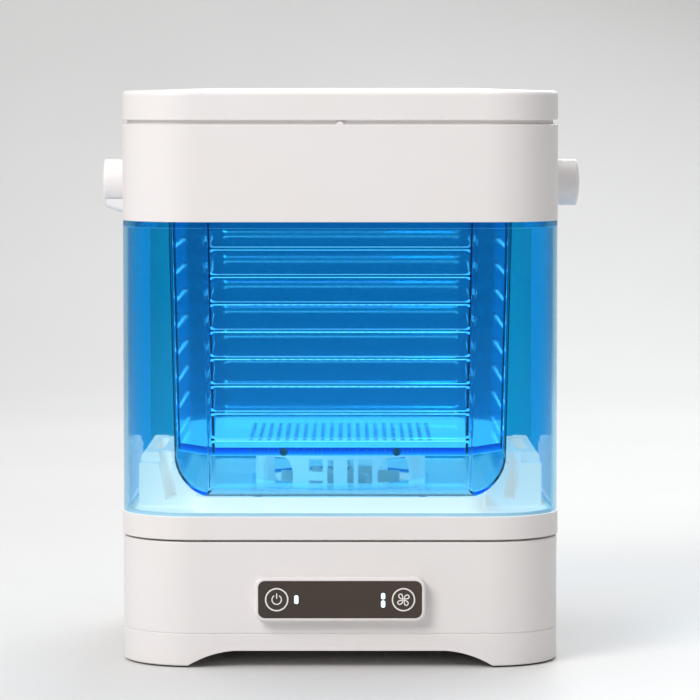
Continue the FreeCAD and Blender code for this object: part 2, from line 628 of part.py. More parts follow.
def tank_ring():
    outer = slab(BODY + 1, BODY + 1, CORNER + 0.5, RING_BOTTOM, RING_TOP)
    outer = round_edges(outer, 0.5, at_height(RING_TOP))
    outer = bevel_edges(outer, 0.4, at_height(RING_BOTTOM))
    ring = outer.cut(slab(SPIGOT + 1.2, SPIGOT + 1.2, 30.6, RING_BOTTOM - 1, RING_TOP - WALL))
    for sx, sy in QUARTERS:
        boss = upright(4, CRADLE_SCREW_Z, RING_TOP - WALL + 1, sx * CRADLE_SCREW_X, sy * CRADLE_SCREW_Y)
        hole = upright(1.7, RING_BOTTOM, RING_TOP + 1, sx * CRADLE_SCREW_X, sy * CRADLE_SCREW_Y)
        ring = join(ring, boss).cut(hole)
    lip = upright(WELL_R + 3.5, RING_TOP - 8, RING_TOP)
    inside = 2 * SEAT_WALL
    seat = slab(SEAT_X, SEAT_Y, SEAT_R, RING_TOP - 1, TANK_BOTTOM - 0.4)
    seat = seat.cut(slab(SEAT_X - inside, SEAT_Y - inside, SEAT_R - SEAT_WALL, RING_TOP - 2, TANK_BOTTOM))
    return join(ring, lip, seat).cut(upright(WELL_R + 0.6, RING_BOTTOM, RING_TOP + 1))


def tank_cradles():
    """Saddles that carry the rounded lower corners of the inner tank, one each side."""
    half = CRADLE_HALF
    block = box(CRADLE_IN, 113, -half, half, RING_TOP, CRADLE_TOP).common(inset_slab(5.5, RING_TOP, 120))
    for side in SIDES:
        y0, y1 = sorted((side * half, side * (half - 14)))
        block = block.cut(box(80, 114, y0, y1, CRADLE_TOP - 5, CRADLE_TOP + 1))
    block = round_edges(block, 3, lambda e: e.BoundBox.XMin > 112 and e.BoundBox.YLength > 20)
    block = block.cut(tank_form(-0.4, 200))
    pocket = slab(7, 34, 3.4, 0, 40)
    pocket.rotate(V(), Y, 10)
    for side in SIDES:
        block = block.cut(pocket.translated(V(94.5, side * (half - 4), RING_TOP + 4)))
    block = block.cut(slab(7, 2 * half - 66, 3, RING_TOP + 5, 120, 104, 0))
    for sy in SIDES:
        block = block.cut(upright(1.45, RING_TOP - 1, RING_TOP + 4.6, CRADLE_SCREW_X, sy * CRADLE_SCREW_Y))
    return group([block, mirror_x(block)])


def cradle_screws():
    places = [(sx * CRADLE_SCREW_X, sy * CRADLE_SCREW_Y, CRADLE_SCREW_Z) for sx, sy in QUARTERS]
    return group(screw(2.9, 2.0, 1.4, 11.5, place, (0, 0, 1)) for place in places)


def outer_shell():
    shell = inset_slab(0, RING_TOP, SHELL_TOP).cut(inset_slab(SHELL_WALL, RING_TOP - 1, SHELL_TOP + 1))
    rim = band(0.2, WALL + 3, SHELL_TOP - 3.4, SHELL_TOP)
    return join(shell, rim)


def shell_seal():
    return band(SHELL_WALL + 0.1, SHELL_WALL + 2.4, RING_TOP, RING_TOP + 1.6)


def collar_gasket():
    return band(WALL, WALL + 2.8, SHELL_TOP, SHELL_TOP + 1.6)


def collar():
    outer = inset_slab(0, SHELL_TOP, COLLAR_TOP)
    outer = bevel_edges(outer, 0.6, at_height(COLLAR_TOP))
    outer = bevel_edges(outer, 0.3, at_height(SHELL_TOP))
    shape = outer.cut(inset_slab(WALL, SHELL_TOP - 1, COLLAR_TOP + 1))
    neck = band(WALL - 0.3, 5.5, TANK_SEAT - 3, NECK_TOP)
    deck = inset_slab(WALL - 0.5, TANK_SEAT - WALL, TANK_SEAT)
    deck = deck.cut(straight_form(-0.6, TANK_SEAT - 10, TANK_SEAT + 5))
    nub = rod(2.0, (0, FRONT + 0.4, COLLAR_TOP - 0.2), (0, FRONT + 3.2, COLLAR_TOP - 0.2))
    shape = join(shape, neck, deck, nub)
    for side in SIDES:
        boss = rod(9, (side * (BODY / 2 - 11), 0, PIVOT_Z), (side * (BODY / 2 - 1), 0, PIVOT_Z))
        shape = join(shape, boss)
        x0, x1 = side * (BODY / 2 - 12), side * (BODY / 2 + 1)
        shape = shape.cut(rod(PIVOT_R, (x0, 0, PIVOT_Z), (x1, 0, PIVOT_Z)))
    return shape


def pivot_pins():
    pin = rod(PIVOT_R, (BODY / 2 - 10, 0, PIVOT_Z), (129.1, 0, PIVOT_Z))
    head = rod(6.6, (129.1, 0, PIVOT_Z), (131.1, 0, PIVOT_Z))
    slot = box(130.3, 132, -7, 7, PIVOT_Z - 0.7, PIVOT_Z + 0.7)
    pin = join(pin, head).cut(slot)
    return group([pin, mirror_x(pin)])


def handle_rest():
    """Sloping saddle under the left hub that the hub turns in."""
    wall, tip, tip_z = BODY / 2, HUB_EDGE - 1.2, PIVOT_Z - HUB_R
    foot, top = (wall, tip_z - 5.4), tip_z + 4
    points = [foot, (tip, tip_z - 1.0), (tip, top), (wall, top), foot]
    face = Part.Face(Part.makePolygon([V(-x, -10, z) for x, z in points]))
    rest = face.extrude(V(0, 20, 0))

    def slopes(edge):
        size = edge.BoundBox
        return size.YLength < 0.1 and size.XLength > 5 and size.ZLength > 3

    rest = round_edges(rest, 2.5, slopes)
    return rest.cut(rod(HUB_R + 0.35, (-wall + 1, 0, PIVOT_Z), (-wall - 20, 0, PIVOT_Z)))


def impeller_spindle():
    foot = bevel_edges(upright(8, WELL_FLOOR, WELL_FLOOR + 1.6), 0.5, at_height(WELL_FLOOR + 1.6))
    pin = upright(SPINDLE_R, WELL_FLOOR, IMPELLER_TOP + 1.2)
    return join(foot, pin, upright(1.8, IMPELLER_TOP, SPINDLE_TOP))


def spindle_cap():
    low = IMPELLER_TOP + 1.2
    cap = round_edges(upright(5.5, low, SPINDLE_TOP + 1), 1.2, at_height(SPINDLE_TOP + 1))
    return cap.cut(upright(1.8, low - 1, SPINDLE_TOP))


def impeller_guard():
    """Cage over the impeller: big round ports, windows and slits between them, and a slotted roof."""
    drum = round_edges(upright(GUARD_R, WELL_FLOOR, GUARD_TOP), 1.0, at_height(GUARD_TOP))
    drum = drum.cut(upright(GUARD_R - GUARD_WALL, WELL_FLOOR - 1, GUARD_TOP - GUARD_ROOF))
    top, sill, bar_low, bar_high = GUARD_TOP - GUARD_ROOF - 0.4, 88.3, 95.3, 100.0
    windows = ((-17.9, -9.9, sill, bar_low), (-17.9, -9.9, bar_high, top), (9.9, 17.9, sill, top),
               (-7.4, -3.9, sill - 2, top), (3.9, 7.4, sill - 2, top))
    for quarter in range(4):
        openings = [box(x0, x1, -GUARD_R - 5, -30, z0, z1) for x0, x1, z0, z1 in windows]
        port = rod(PORT_R, (0, -30, PORT_Z), (0, -GUARD_R - 5, PORT_Z))
        port = port.common(box(-PORT_R, PORT_R, -GUARD_R - 5, 0, WELL_FLOOR + 1.5, top))
        port.rotate(V(), Z, 41)
        for opening in openings + [port]:
            opening.rotate(V(), Z, 90 * quarter)
            drum = drum.cut(opening)
    drum = drum.cut(upright(7, GUARD_TOP - 3, GUARD_TOP + 1))
    slots = []
    for i in range(16):
        slot = slab(22, 4, 2, GUARD_TOP - 3, GUARD_TOP + 1, 24, 0)
        slot.rotate(V(), Z, 22.5 * i + 11.25)
        slots.append(slot)
    return drum.cut(group(slots))


def impeller():
    disc = upright(IMPELLER_R - 4, IMPELLER_Z, IMPELLER_Z + 4.4)
    hub = upright(8.5, IMPELLER_Z, IMPELLER_TOP)
    blades = []
    for i in range(6):
        arc = Part.Arc(V(7, 0, 0), V(21, 4.5, 0), V(IMPELLER_R, -1, 0)).toShape()
        inner = Part.Arc(V(7, -2, 0), V(21, 2.3, 0), V(IMPELLER_R - 0.6, -3, 0)).toShape()
        ends = [
            Part.makeLine(arc.Vertexes[0].Point, inner.Vertexes[0].Point),
            Part.makeLine(arc.Vertexes[-1].Point, inner.Vertexes[-1].Point),
        ]
        blade = Part.Face(Part.Wire(Part.__sortEdges__([arc, inner] + ends)))
        blade.translate(V(0, 0, IMPELLER_Z + 4))
        blade = blade.extrude(V(0, 0, IMPELLER_TOP - IMPELLER_Z - 4.8))
        blade.rotate(V(), Z, 60 * i)
        blades.append(blade)
    wheel = join(disc, hub, *blades).cut(upright(5, IMPELLER_Z - 1, IMPELLER_TOP + 1))
    for x, y in magnet_places():
        wheel = wheel.cut(upright(4.5, IMPELLER_Z + 0.8, IMPELLER_Z + 3.8, x, y))
    return wheel


def impeller_magnets():
    return group(upright(4.5, IMPELLER_Z + 0.8, IMPELLER_Z + 3.8, x, y) for x, y in magnet_places())


def impeller_bush():
    return washer(5, SPINDLE_R + 0.06, IMPELLER_Z - 0.3, IMPELLER_TOP + 0.9)


# ---------------------------------------------------------------- basket
def slot_cutter(height, half_length, turn, distance, z):
    """Bar that cuts one slot, flared towards both faces of the wall it goes through."""
    flat, reach = BASKET_WALL / 2 - SLOT_FLARE, BASKET_WALL / 2 + 1
    low, high = height / 2, height / 2 + reach - flat
    profile = [(-reach, high), (-flat, low), (flat, low), (reach, high),
               (reach, -high), (flat, -low), (-flat, -low), (-reach, -high), (-reach, high)]
    face = Part.Face(Part.makePolygon([V(-half_length, y, dz) for y, dz in profile]))
    bar = face.extrude(V(2 * half_length, 0, 0)).translated(V(0, -distance, z))
    bar.rotate(V(), Z, turn)
    return bar


def basket():
    outer, inner = TANK_WALL + BASKET_GAP, TANK_WALL + BASKET_GAP + BASKET_WALL
    top = TANK_TOP + FLANGE_T
    flange = slab(BODY - 26, BODY - 26, 26, TANK_TOP, top)
    body = join(straight_form(outer, BASKET_BOTTOM, top), flange)
    body = body.cut(straight_form(inner, BASKET_BOTTOM - 1, top + 1))
    slots = []
    for i in range(SLOTS):
        z = SLOT_TOP - SLOT_PITCH * i
        middle = DRAFT * (z - TANK_BOTTOM) - (outer + inner) / 2
        for turn, height in ((0, SLOT_FRONT), (180, SLOT_BACK)):
            slots.append(slot_cutter(height, SLOT_X, turn, TANK_HALF_Y + middle, z))
        for turn in (90, 270):
            slots.append(slot_cutter(SLOT_SIDE, SLOT_Y, turn, TANK_HALF_X + middle, z))
    body = body.cut(group(slots))
    for side in SIDES:
        body = body.cut(slab(7, 70, 3.4, TANK_TOP - 1, top + 1, side * 101.5, 0))
    for x, y0, y1 in pin_lines():
        body = body.cut(rod(1.25, (x, y0, pin_z()), (x, y1 + math.copysign(1, y1), pin_z())))
    return body


def pin_z():
    return (BASKET_BOTTOM + BASKET_FLOOR_TOP) / 2


def pin_lines():
    """Where the four floor pins pass through the front and back walls."""
    face = TANK_HALF_Y + DRAFT * (pin_z() - TANK_BOTTOM) - TANK_WALL - BASKET_GAP
    return [(sx * PIN_X, sy * (face - 7), sy * face) for sx, sy in QUARTERS]


def basket_floor():
    """Perforated plate; its outline follows the basket's inside."""
    inner = TANK_WALL + BASKET_GAP + BASKET_WALL + 0.1
    edge = tank_plan(inner, BASKET_BOTTOM)
    holes = []
    for i in range(-10, 11):
        for j in range(-11, 12):
            x, y = i * HOLE_PITCH, j * HOLE_PITCH
            if abs(x) + abs(y) * 0.6 < 122 and abs(y) < 90:
                circle = Part.makeCircle(HOLE_R, V(x, y, BASKET_BOTTOM))
                holes.append(Part.Wire(circle))
    face = Part.Face([edge] + holes)
    face.validate()
    plate = face.extrude(V(0, 0, BASKET_FLOOR_TOP - BASKET_BOTTOM))
    for x, y0, y1 in pin_lines():
        plate = plate.cut(rod(1.25, (x, y0, pin_z()), (x, y1, pin_z())))
    return plate


def floor_pins():
    pins = []
    for x, y0, y1 in pin_lines():
        side = math.copysign(1, y1)
        head = rod(2.2, (x, y1 + side * 0.08, pin_z()), (x, y1 + side * 0.8, pin_z()))
        pins.append(join(rod(1.25, (x, y0, pin_z()), (x, y1 + side * 0.1, pin_z())), head))
    return group(pins)


# ---------------------------------------------------------------- lid
def lid_form(inset, z0, edge, crown):
    """Prism with a shallow crown: flat in the middle and sloping down to the rim."""
    walls = inset_slab(inset, z0, edge)
    top = Part.makeLoft([
        outline(BODY - 2 * inset, BODY - 2 * inset, CORNER - inset, edge),
        outline(BODY - 90, BODY - 90, 20, crown),
    ], True, True)
    return join(walls, top)


def lid_shell():
    lid = lid_form(0, NECK_TOP, LID_EDGE, LID_TOP)
    lid = round_edges(lid, 2.6, at_height(LID_EDGE))
    lid = bevel_edges(lid, 0.4, at_height(NECK_TOP))
    lid = lid.cut(lid_form(WALL, NECK_TOP - 1, LID_EDGE - WALL, LID_TOP - WALL))
    posts = [upright(4, NECK_TOP + 2.5, LID_EDGE - 1, sx * 80, sy * 80) for sx, sy in QUARTERS]
    lid = join(lid, *posts)
    for sx, sy in QUARTERS:
        lid = lid.cut(upright(1.45, NECK_TOP, LID_EDGE - 3, sx * 80, sy * 80))
    return lid


def lid_liner():
    plate = inset_slab(WALL + 0.2, NECK_TOP, NECK_TOP + 2.5)
    plug = band(6.0, 12.0, NECK_TOP - 5, NECK_TOP + 1)
    liner = join(plate, plug)
    liner = liner.cut(band(5.0, 8.0, NECK_TOP - 3.6, NECK_TOP - 1.0))
    for sx, sy in QUARTERS:
        liner = liner.cut(upright(1.6, NECK_TOP - 1, NECK_TOP + 4, sx * 80, sy * 80))
    return liner


def lid_seal():
    return band(5.65, 8.0, NECK_TOP - 3.6, NECK_TOP - 1.0)


def lid_screws():
    places = [(sx * 80, sy * 80, NECK_TOP) for sx, sy in QUARTERS]
    return group(screw(2.9, 1.8, 1.4, 11, place, (0, 0, 1)) for place in places)


# ---------------------------------------------------------------- bail handle
def hub_form(side):
    """Hub with a softly domed end face."""
    sag = HUB_END - HUB_EDGE
    ball_r = (HUB_R ** 2 + sag ** 2) / (2 * sag)
    hub = rod(HUB_R, (HUB_IN, 0, PIVOT_Z), (HUB_END, 0, PIVOT_Z))
    ball = Part.makeSphere(ball_r, V(HUB_END - ball_r, 0, PIVOT_Z))
    hub = hub.common(ball)
    hub = round_edges(hub, 1.3, lambda e: e.BoundBox.XMin > HUB_EDGE - 0.5 and e.BoundBox.ZLength > HUB_R)
    return hub if side > 0 else mirror_x(hub)


def cap_zone(side):
    return rod(CAP_R, (side * 131.6, 0, PIVOT_Z), (side * 140, 0, PIVOT_Z))


def is_outer_end(edge):
    size = edge.BoundBox
    return size.XLength < 0.01 and abs(abs(size.XMin) - ARM_OUT) < 0.01


def handle_bail():
    parts = []
    for side in SIDES:
        x0, x1 = sorted((side * ARM_IN, side * ARM_OUT))
        arm = box(x0, x1, 0, BAIL_R, PIVOT_Z - ARM_H / 2, PIVOT_Z + ARM_H / 2)
        arm = round_edges(arm, 2.5, lambda e: e.BoundBox.YLength > 100)
        elbow = rod(BAR_R, (x0, BAIL_R, PIVOT_Z), (x1, BAIL_R, PIVOT_Z))
        parts += [hub_form(side), arm, round_edges(elbow, 2.0, is_outer_end)]
    bar = rod(BAR_R, (-ARM_IN - 1, BAIL_R, PIVOT_Z), (ARM_IN + 1, BAIL_R, PIVOT_Z))
    bail = join(*parts, bar)
    for side in SIDES:
        bail = bail.cut(rod(PIVOT_R + 0.06, (side * 119, 0, PIVOT_Z), (side * 130, 0, PIVOT_Z)))
        bail = bail.cut(rod(7.0, (side * 129.0, 0, PIVOT_Z), (side * 131.6, 0, PIVOT_Z)))
        bail = bail.cut(cap_zone(side))
    return bail


def hub_caps():
    return group(hub_form(side).common(cap_zone(side)) for side in SIDES)


def handle_grip():
    grip = rod(GRIP_R, (-GRIP_HALF, BAIL_R, PIVOT_Z), (GRIP_HALF, BAIL_R, PIVOT_Z))
    grip = round_edges(grip, 1.2, lambda e: e.BoundBox.XLength < 0.01)
    for i in range(-6, 7):
        x = i * 6.5
        ring = rod(GRIP_R + 1, (x - 0.8, BAIL_R, PIVOT_Z), (x + 0.8, BAIL_R, PIVOT_Z))
        ring = ring.cut(rod(GRIP_R - 0.5, (x - 1, BAIL_R, PIVOT_Z), (x + 1, BAIL_R, PIVOT_Z)))
        grip = grip.cut(ring)
    return grip.cut(rod(BAR_R, (-60, BAIL_R, PIVOT_Z), (60, BAIL_R, PIVOT_Z)))


# ---------------------------------------------------------------- nodes
os.makedirs("parts", exist_ok=True)

WHOLE_NODES = (
    base_shell, bottom_cover, foot_strip, cover_screws,
    panel_bezel, panel_overlay, control_board, tact_switches, indicator_leds, panel_board_screws,
    driver_board, driver_components, driver_board_screws, dc_socket, dc_socket_nut,
    motor_can, motor_front_plate, motor_bearings, motor_magnets, motor_bracket, motor_grommets,
    bracket_screws, motor_plate_screws, wiring_loom,
    motor_shaft, motor_rotor, drive_disc, drive_magnets, drive_set_screw,
    tank_ring, tank_cradles, cradle_screws, outer_shell, shell_seal, collar_gasket, inner_tank,
    collar, pivot_pins, handle_rest, impeller_spindle, spindle_cap, impeller_guard,
    impeller, impeller_magnets, impeller_bush,
    basket, basket_floor, floor_pins,
    lid_shell, lid_liner, lid_seal, lid_screws,
    handle_bail, hub_caps, handle_grip,
)

for make in WHOLE_NODES:
    save(make.__name__, make())

save("power_button", button(-1))
save("speed_button", button(1))
save("power_led_lens", light_pipe(*POWER_LED))
save("speed_led_lenses", group(light_pipe(*led) for led in SPEED_LEDS))
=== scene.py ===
import math

import bmesh
import bpy
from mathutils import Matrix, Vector


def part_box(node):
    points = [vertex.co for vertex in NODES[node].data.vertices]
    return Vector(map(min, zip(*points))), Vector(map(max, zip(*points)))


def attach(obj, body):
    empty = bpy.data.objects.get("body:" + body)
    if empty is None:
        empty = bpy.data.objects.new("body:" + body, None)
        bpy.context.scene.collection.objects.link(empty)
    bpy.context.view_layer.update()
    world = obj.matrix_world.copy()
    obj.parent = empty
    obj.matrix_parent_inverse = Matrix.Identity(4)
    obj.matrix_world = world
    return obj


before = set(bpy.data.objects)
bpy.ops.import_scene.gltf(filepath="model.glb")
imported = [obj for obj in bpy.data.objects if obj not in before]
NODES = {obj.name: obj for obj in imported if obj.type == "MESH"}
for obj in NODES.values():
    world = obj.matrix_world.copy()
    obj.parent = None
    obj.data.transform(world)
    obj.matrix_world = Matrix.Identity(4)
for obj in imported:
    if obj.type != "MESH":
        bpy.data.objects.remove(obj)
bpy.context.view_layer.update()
MM = 0.001

# Prints on the buttons, in millimetres except the ink's own thickness
RING_R, RING_LINE, MARK_LINE, POWER_R = 6.0, 0.75, 0.6, 2.55
INK_PROUD, INK_SUNK = 0.00003, 0.00002

# Colours of the mouldings
WHITE = (0.82, 0.79, 0.785)
INNER_WHITE = (0.80, 0.80, 0.80)
YELLOWING = (1.0, 1.6, 3.0)

# The blue dye's colour, and painted light: a glow on flat faces and a deep-blue glow on edge-on walls
DYE = (0.0, 0.71, 0.93)
# EDGE_LIGHT is painted light on flat faces: highlights on slot lips and a reflection on the tray's top
EDGE_LIGHT = (0.25, 0.78, 1.0)
EDGE_FLATNESS = (0.5, 0.75)
# RIM_LIGHT, RIM_GLOW and RIM_FACING paint a deep-blue glow on walls seen edge-on
RIM_LIGHT = (0.0, 0.17, 0.5)
RIM_GLOW = 0.7
RIM_FACING = (0.78, 1.0)
SOFT_LIGHT_THINNING = 0.6

# Height over which the painted glow of a moulding fades in above its starting height
GLOW_FADE = 0.0004


# ---------------------------------------------------------------- node graphs
class Graph:
    """A material's node tree, written with short calls."""

    def __init__(self, name):
        self.material = bpy.data.materials.new(name)
        self.material.use_nodes = True
        self.tree = self.material.node_tree
        self.tree.nodes.clear()
        self.output = self.tree.nodes.new("ShaderNodeOutputMaterial")
        self.place = self.add("ShaderNodeTexCoord").outputs["Object"]

    def add(self, kind, settings=None, **inputs):
        """Adds a node. An input takes a number, a tuple or another node's socket; _ stands for a space."""
        node = self.tree.nodes.new(kind)
        for key, value in (settings or {}).items():
            setattr(node, key, value)
        for key, value in inputs.items():
            self.feed(node.inputs[key.replace("_", " ")], value)
        return node

    def feed(self, socket, value):
        if isinstance(value, bpy.types.NodeSocket):
            self.tree.links.new(value, socket)
        elif isinstance(value, tuple) and len(value) == 3 and socket.type == "RGBA":
            socket.default_value = (*value, 1.0)
        else:
            socket.default_value = value

    def noise(self, scale, detail=3.0, rough=0.5, stretch=(1, 1, 1)):
        place = self.add("ShaderNodeVectorMath", {"operation": "MULTIPLY"})
        self.feed(place.inputs[0], self.place)
        self.feed(place.inputs[1], stretch)
        node = self.add(
            "ShaderNodeTexNoise", Vector=place.outputs[0], Scale=scale, Detail=detail, Roughness=rough,
        )
        return node.outputs["Fac"]

    def spread(self, value, low, high):
        """Maps 0.3..0.7, where noise lives, to low..high."""
        node = self.add("ShaderNodeMapRange", Value=value)
        for name, number in (("From Min", 0.3), ("From Max", 0.7), ("To Min", low), ("To Max", high)):
            node.inputs[name].default_value = number
        return node.outputs["Result"]

    def blend(self, factor, a, b):
        node = self.add("ShaderNodeMix", {"data_type": "RGBA"})
        self.feed(node.inputs["Factor"], factor)
        self.feed(node.inputs[6], a)
        self.feed(node.inputs[7], b)
        return node.outputs[2]

    def math(self, operation, a, b=0.0, clamp=False):
        node = self.add("ShaderNodeMath", {"operation": operation, "use_clamp": clamp})
        self.feed(node.inputs[0], a)
        self.feed(node.inputs[1], b)
        return node.outputs[0]

    def bump(self, height, strength, distance, normal=None):
        node = self.add("ShaderNodeBump", Height=height, Strength=strength, Distance=distance)
        if normal is not None:
            self.feed(node.inputs["Normal"], normal)
        return node.outputs["Normal"]

    def ramp(self, value, low, high):
        """0 below low, 1 above high and smooth between."""
        node = self.add("ShaderNodeMapRange", {"interpolation_type": "SMOOTHSTEP"}, Value=value)
        node.inputs["From Min"].default_value, node.inputs["From Max"].default_value = low, high
        return node.outputs["Result"]

    def axis(self, vector, letter):
        return self.add("ShaderNodeSeparateXYZ", Vector=vector).outputs[letter]

    def principled(self, **inputs):
        return self.add("ShaderNodeBsdfPrincipled", **inputs)

    def finish(self, shader):
        self.tree.links.new(shader.outputs[0], self.output.inputs["Surface"])
        return self.material


def shade(colour, factor):
    return tuple(channel * factor for channel in colour)


# ---------------------------------------------------------------- materials
def moulded_plastic(name, colour, roughness=0.42, grain=0.25, warmth=0.015,
                    glow=0.0, above=-1.0, hue=(1, 1, 1)):
    """Satin moulded plastic: fine spark-eroded grain, soft flow mottling and a faint dusty mottle.

    glow is painted light: an emission standing in for the light that the clear walls around a part
    focus on it. It starts at the height called above.
    """
    g = Graph(name)
    flow = g.noise(9.0, 2.0)
    mottle = g.noise(60.0, 4.0, 0.6)
    warmer = tuple(channel * (1 - warmth * share) for channel, share in zip(colour, YELLOWING))
    tone = g.blend(g.spread(flow, 0.0, 1.0), colour, warmer)
    tone = g.blend(g.spread(mottle, 0.0, 0.22), tone, shade(colour, 0.965))
    rough = g.spread(g.noise(35.0, 3.0), roughness - 0.04, roughness + 0.05)
    fine = g.noise(2600.0, 2.0, 0.6)
    orange_peel = g.noise(220.0, 2.0)
    normal = g.bump(orange_peel, 0.05, 0.0004)
    normal = g.bump(fine, grain, 0.00006, normal)
    # Painted light: emission from the height called above upwards
    lit = g.ramp(g.axis(g.place, "Z"), above, above + GLOW_FADE)
    shader = g.principled(
        Base_Color=tone, Roughness=rough, IOR=1.48, Normal=normal,
        Subsurface_Weight=0.06, Subsurface_Scale=0.002,
        Emission_Color=hue, Emission_Strength=g.math("MULTIPLY", lit, glow),
    )
    shader.inputs["Subsurface Radius"].default_value = (1.0, 0.8, 0.7)
    return g.finish(shader)


def clear_plastic(name, beyond, density, glint, roughness=0.015, scratch=0.012, painted_flat_glow=0.0):
    """Dyed clear plastic with real wall thickness.

    The dye is absorption inside the wall, so an edge, where the path is long, turns deep blue, and a
    painted deep-blue glow on faces seen edge-on adds to it.
    beyond is what each wall behind the first one lets through, and glint colours the reflections.
    painted_flat_glow is painted light: a glow on faces that lie flat, standing in for the highlights on a
    slot's lips and the reflection on the tray's top.
    Soft light and shadows pass with less dye, because they reach the inside from all around.
    """
    g = Graph(name)
    smudge = g.spread(g.noise(14.0, 4.0, 0.65), 0.0, 1.0)
    flow = g.noise(26.0, 2.0, 0.5, (1, 1, 0.25))
    hairline = g.noise(900.0, 2.0, 0.5, (1, 1, 0.06))
    rough = g.math("ADD", g.math("MULTIPLY", smudge, 0.03), roughness, True)
    normal = g.bump(flow, 0.06, 0.0012)
    normal = g.bump(hairline, scratch, 0.0002, normal)
    path = g.add("ShaderNodeLightPath")
    behind = g.math("GREATER_THAN", path.outputs["Transmission Depth"], 1.5)
    tint = g.blend(behind, (1.0, 1.0, 1.0), beyond)
    # Painted light: emission on faces that lie flat and on faces seen edge-on, in place of highlights and
    # edges
    upright = g.axis(g.add("ShaderNodeNewGeometry").outputs["Normal"], "Z")
    flat = g.ramp(g.math("ABSOLUTE", upright), *EDGE_FLATNESS)
    grazing = g.ramp(g.add("ShaderNodeLayerWeight", Blend=0.5).outputs["Facing"], *RIM_FACING)
    lit = g.blend(flat, RIM_LIGHT, EDGE_LIGHT)
    power = g.math("ADD", g.math("MULTIPLY", flat, painted_flat_glow), g.math("MULTIPLY", grazing, RIM_GLOW))
    glass = g.principled(
        Base_Color=tint, Roughness=rough, IOR=1.49, Transmission_Weight=1.0, Specular_Tint=glint,
        Normal=normal, Emission_Color=lit, Emission_Strength=power,
    )
    veil = g.add("ShaderNodeBsdfTransparent", Color=(0.97, 0.99, 1.0))
    pick = g.math("MAXIMUM", path.outputs["Is Shadow Ray"], path.outputs["Is Diffuse Ray"])
    mix = g.add("ShaderNodeMixShader")
    g.feed(mix.inputs[0], pick)
    g.feed(mix.inputs[1], glass.outputs[0])
    g.feed(mix.inputs[2], veil.outputs[0])
    thinned = g.math("SUBTRACT", density, g.math("MULTIPLY", pick, density * SOFT_LIGHT_THINNING))
    inside = g.add("ShaderNodeVolumeAbsorption", Color=DYE, Density=thinned)
    g.tree.links.new(inside.outputs[0], g.output.inputs["Volume"])
    return g.finish(mix)


def rubber(name, colour, roughness=0.7):
    g = Graph(name)
    dust = g.spread(g.noise(40.0, 4.0, 0.65), 0.0, 0.35)
    tone = g.blend(dust, colour, tuple(c * 0.7 + 0.06 for c in colour))
    normal = g.bump(g.noise(1500.0, 3.0, 0.7), 0.35, 0.0001)
    rough = g.spread(g.noise(80.0, 2.0), roughness - 0.08, roughness + 0.08)
    return g.finish(g.principled(Base_Color=tone, Roughness=rough, Normal=normal))


def silicone(name, colour):
    g = Graph(name)
    cloud = g.blend(g.spread(g.noise(50.0), 0.0, 1.0), colour, shade(colour, 0.92))
    normal = g.bump(g.noise(700.0, 2.0), 0.12, 0.0001)
    return g.finish(g.principled(
        Base_Color=cloud, Roughness=0.5, Normal=normal, Subsurface_Weight=0.3, Subsurface_Scale=0.002,
    ))


def metal(name, colour, roughness=0.3, brush=(1, 1, 1), scale=500.0):
    """Bare metal with directional tool marks and uneven polish."""
    g = Graph(name)
    marks = g.noise(scale, 3.0, 0.6, brush)
    stain = g.spread(g.noise(30.0, 4.0, 0.6), 0.0, 0.3)
    tone = g.blend(stain, colour, shade(colour, 0.8))
    rough = g.math("ADD", g.spread(marks, -0.06, 0.1), roughness)
    normal = g.bump(marks, 0.15, 0.0001)
    return g.finish(g.principled(Base_Color=tone, Metallic=1.0, Roughness=rough, Normal=normal))


def dark_sheet(name, colour, roughness=0.3):
    """Back-printed control film: a faint leather grain and a few specks of dust."""
    g = Graph(name)
    speck = g.add("ShaderNodeTexVoronoi", {"feature": "F1"}, Vector=g.place, Scale=260.0, Randomness=1.0)
    near = g.math("LESS_THAN", speck.outputs["Distance"], 0.055)
    lottery = g.math("GREATER_THAN", speck.outputs["Color"], 0.93)
    dust = g.math("MULTIPLY", g.math("MULTIPLY", near, lottery), 0.5)
    tone = g.blend(g.spread(g.noise(18.0), 0.0, 1.0), colour, shade(colour, 1.25))
    tone = g.blend(dust, tone, (0.35, 0.33, 0.3))
    normal = g.bump(g.noise(1800.0, 2.0), 0.18, 0.00008)
    rough = g.spread(g.noise(25.0, 3.0), roughness - 0.05, roughness + 0.08)
    return g.finish(g.principled(
        Base_Color=tone, Roughness=rough, Normal=normal, Coat_Weight=0.15, Coat_Roughness=0.25,
    ))


def glowing(name, colour, strength):
    """Light pipe lit from behind, with its glow and colour uneven in a fine cloud."""
    g = Graph(name)
    cloud = g.spread(g.noise(700.0, 2.0), 0.85, 1.1)
    power = g.math("MULTIPLY", cloud, strength)
    return g.finish(g.principled(
        Base_Color=g.blend(cloud, shade(colour, 0.6), colour), Roughness=0.3,
        Emission_Color=colour, Emission_Strength=power,
    ))


def print_ink(name, colour):
    """Printed ink: slightly uneven cover, with a faint painted glow that keeps it bright."""
    g = Graph(name)
    tone = g.blend(g.spread(g.noise(1200.0, 3.0), 0.0, 0.35), colour, shade(colour, 0.8))
    normal = g.bump(g.noise(2400.0), 0.1, 0.00004)
    return g.finish(g.principled(
        Base_Color=tone, Roughness=0.45, Normal=normal, Emission_Color=colour, Emission_Strength=0.12,
    ))


